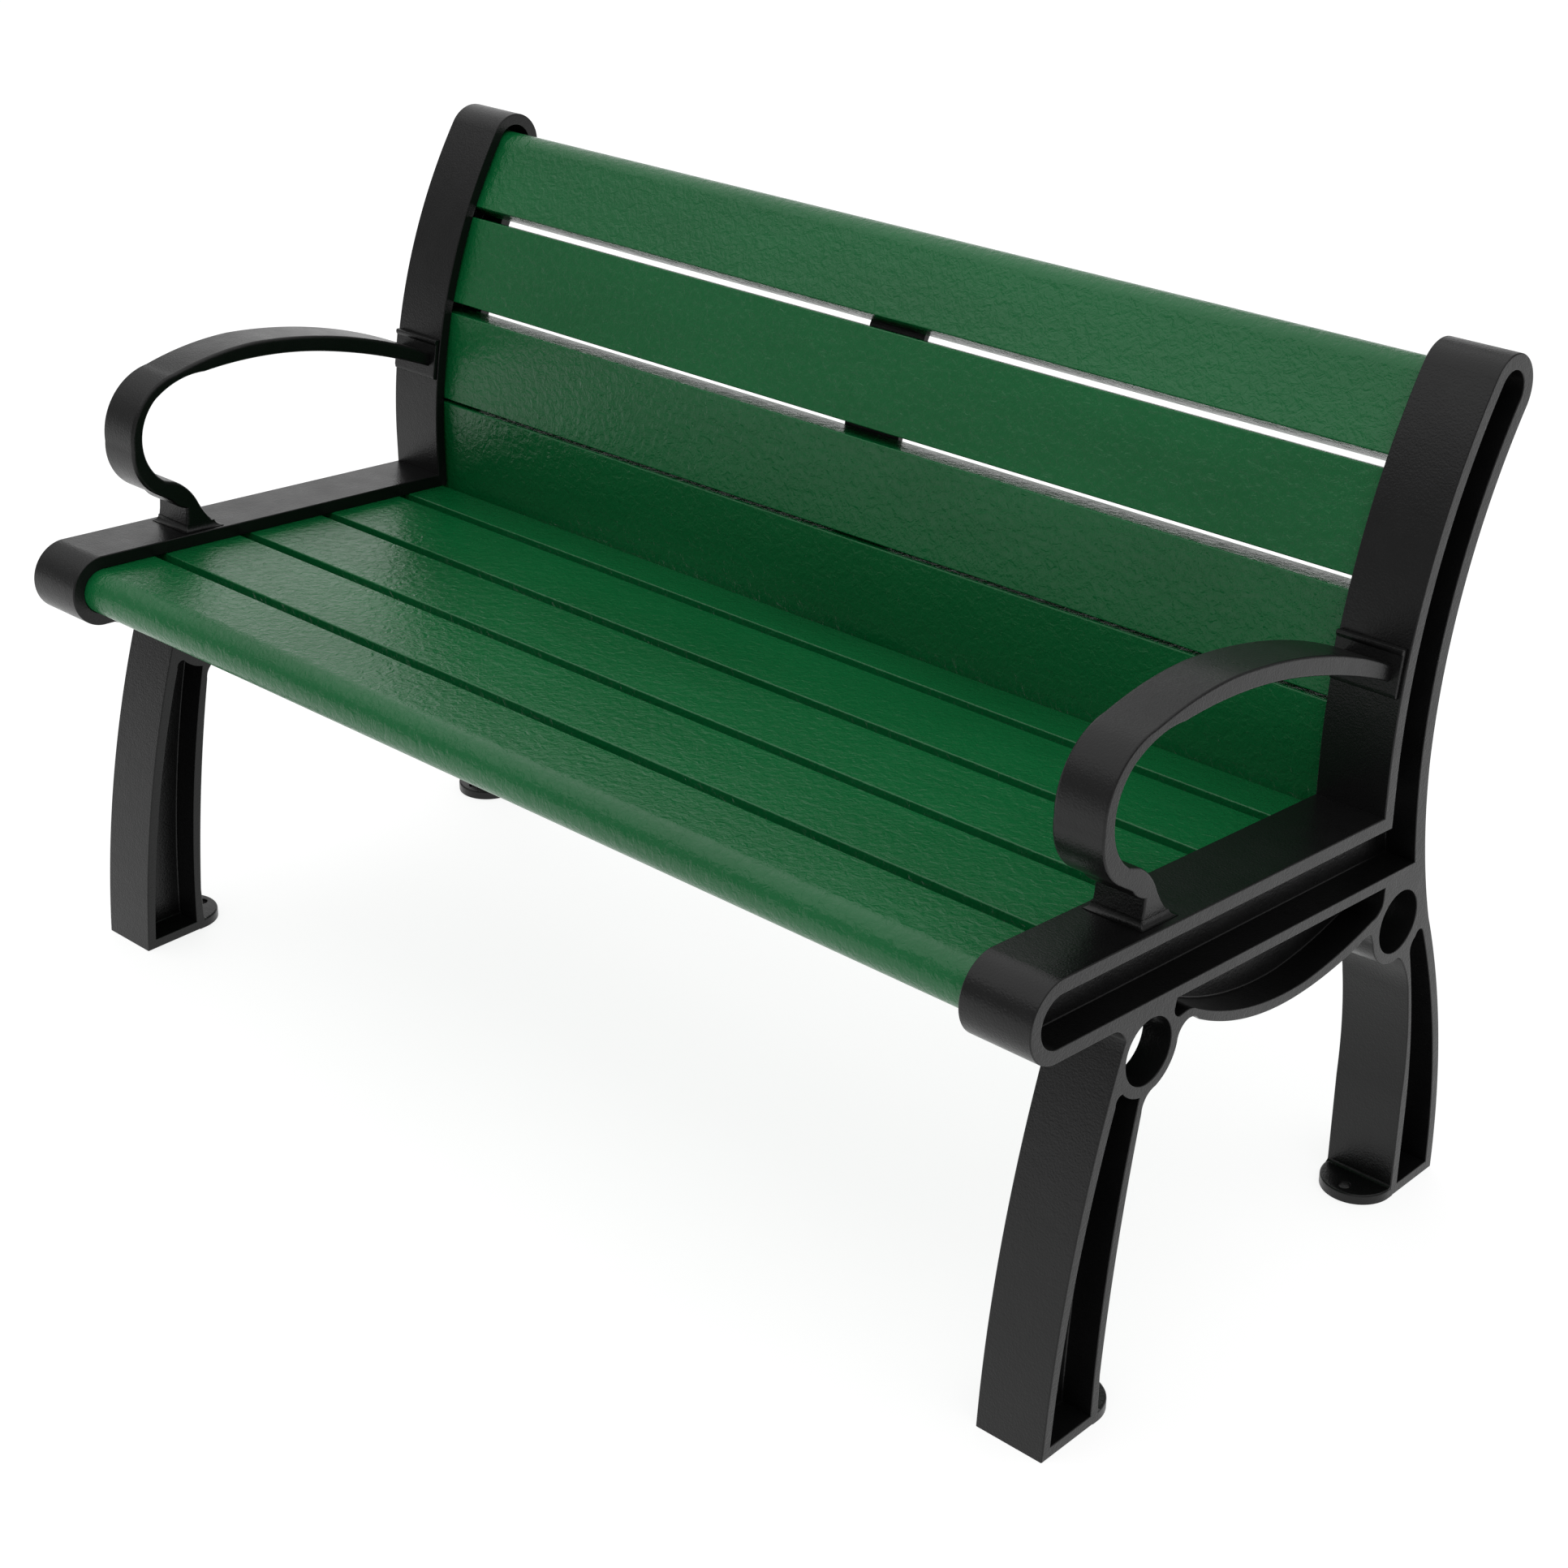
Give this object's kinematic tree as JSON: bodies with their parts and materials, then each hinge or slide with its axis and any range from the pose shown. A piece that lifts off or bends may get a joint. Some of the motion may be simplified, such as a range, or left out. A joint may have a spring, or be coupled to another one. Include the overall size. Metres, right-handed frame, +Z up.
{
  "type": "park bench",
  "caption": "Bench with green slatted seat and back, two black cast end frames with ring hubs, looped armrests and a centre strap.",
  "frame": {"origin": "on the floor, under the middle of the bench's bounding box", "axes": "+X along the bench's length, +Y from the front of the seat towards the back, +Z up"},
  "size_m": [1.22, 0.6079, 0.759],
  "materials": {
    "black_paint": "satin",
    "green_board": "satin",
    "zinc_steel": "satin"
  },
  "bodies": {
    "root": {"arm_bolt_front_left": "zinc_steel", "arm_bolt_front_right": "zinc_steel", "arm_bolt_rear_left": "zinc_steel", "arm_bolt_rear_right": "zinc_steel", "armrest_left": "black_paint", "armrest_right": "black_paint", "back_screw_1_centre": "zinc_steel", "back_screw_1_left": "zinc_steel", "back_screw_1_right": "zinc_steel", "back_screw_2_centre": "zinc_steel", "back_screw_2_left": "zinc_steel", "back_screw_2_right": "zinc_steel", "back_screw_3_centre": "zinc_steel", "back_screw_3_left": "zinc_steel", "back_screw_3_right": "zinc_steel", "back_screw_4_centre": "zinc_steel", "back_screw_4_left": "zinc_steel", "back_screw_4_right": "zinc_steel", "back_slat_1": "green_board", "back_slat_2": "green_board", "back_slat_3": "green_board", "back_slat_4": "green_board", "centre_strap": "black_paint", "end_frame_left": "black_paint", "end_frame_right": "black_paint", "seat_screw_1_centre": "zinc_steel", "seat_screw_1_left": "zinc_steel", "seat_screw_1_right": "zinc_steel", "seat_screw_2_centre": "zinc_steel", "seat_screw_2_left": "zinc_steel", "seat_screw_2_right": "zinc_steel", "seat_screw_3_centre": "zinc_steel", "seat_screw_3_left": "zinc_steel", "seat_screw_3_right": "zinc_steel", "seat_screw_4_centre": "zinc_steel", "seat_screw_4_left": "zinc_steel", "seat_screw_4_right": "zinc_steel", "seat_screw_5_centre": "zinc_steel", "seat_screw_5_left": "zinc_steel", "seat_screw_5_right": "zinc_steel", "seat_slat_1": "green_board", "seat_slat_2": "green_board", "seat_slat_3": "green_board", "seat_slat_4": "green_board", "seat_slat_5": "green_board"}
  },
  "joints": []
}
